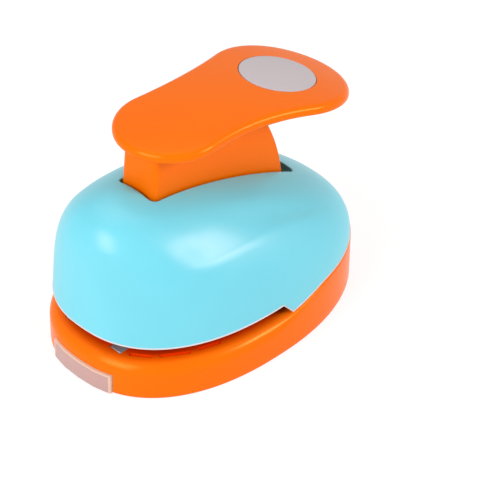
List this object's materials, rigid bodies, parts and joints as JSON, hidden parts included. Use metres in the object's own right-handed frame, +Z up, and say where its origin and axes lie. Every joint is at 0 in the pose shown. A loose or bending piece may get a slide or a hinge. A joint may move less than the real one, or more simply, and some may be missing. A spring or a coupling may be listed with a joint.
{
  "type": "circle craft punch",
  "caption": "Circle craft punch with a thumb lever, a domed cover over a round cutter and its die, return springs and a hinged chip tray.",
  "frame": {"origin": "centre of the footprint, on the table", "axes": "+X to the back, where the thumb pad is; +Y to the left seen from the back of the punch; +Z up"},
  "size_m": [0.0712, 0.0478, 0.0507],
  "materials": {
    "orange_plastic": "polished",
    "blue_plastic": "polished",
    "grey_plastic": "satin",
    "clear_plastic": "frosted",
    "bright_steel": "ground",
    "frame_steel": "zinc plated",
    "spring_steel": "drawn wire",
    "screw_steel": "zinc plated"
  },
  "bodies": {
    "housing": {"base": "orange_plastic", "tray_hinge_pin": "bright_steel", "die_plate": "bright_steel", "die_screws": "screw_steel", "spacer_left": "frame_steel", "spacer_right": "frame_steel", "guide_block": "frame_steel", "frame_screws": "screw_steel", "guide_post_left": "bright_steel", "guide_post_right": "bright_steel", "return_spring_left": "spring_steel", "return_spring_right": "spring_steel", "pivot_pin": "bright_steel", "pivot_clip_left": "spring_steel", "pivot_clip_right": "spring_steel", "cover": "blue_plastic", "cover_screws": "screw_steel"},
    "lever_arm": {"lever": "orange_plastic", "thumb_disc": "grey_plastic"},
    "punch": {"punch_carrier": "frame_steel", "punch_cutter": "bright_steel", "punch_screws": "screw_steel"},
    "tray": {"chip_tray": "clear_plastic"}
  },
  "joints": [
    {"name": "lever_pivot", "type": "hinge", "parent": "housing", "child": "lever_arm", "pos_m": [-0.02625, 0, 0.02087], "axis": [0, 1, 0], "range_deg": [0, 20], "stiffness_Nm_per_rad": 0.5, "springref_deg": -11.46},
    {"name": "punch_slide", "type": "slide", "parent": "housing", "child": "punch", "axis": [0, 0, -1], "range_m": [0, 0.00528], "deforming": ["return_spring_left", "return_spring_right"]},
    {"name": "tray_hinge", "type": "hinge", "parent": "housing", "child": "tray", "pos_m": [0.00125, 0, 0.0026], "axis": [0, -1, 0], "range_deg": [0, 80]}
  ],
  "couplings": [
    {"joint": "punch_slide", "follows": "lever_pivot", "m_per_rad": 0.015106}
  ]
}
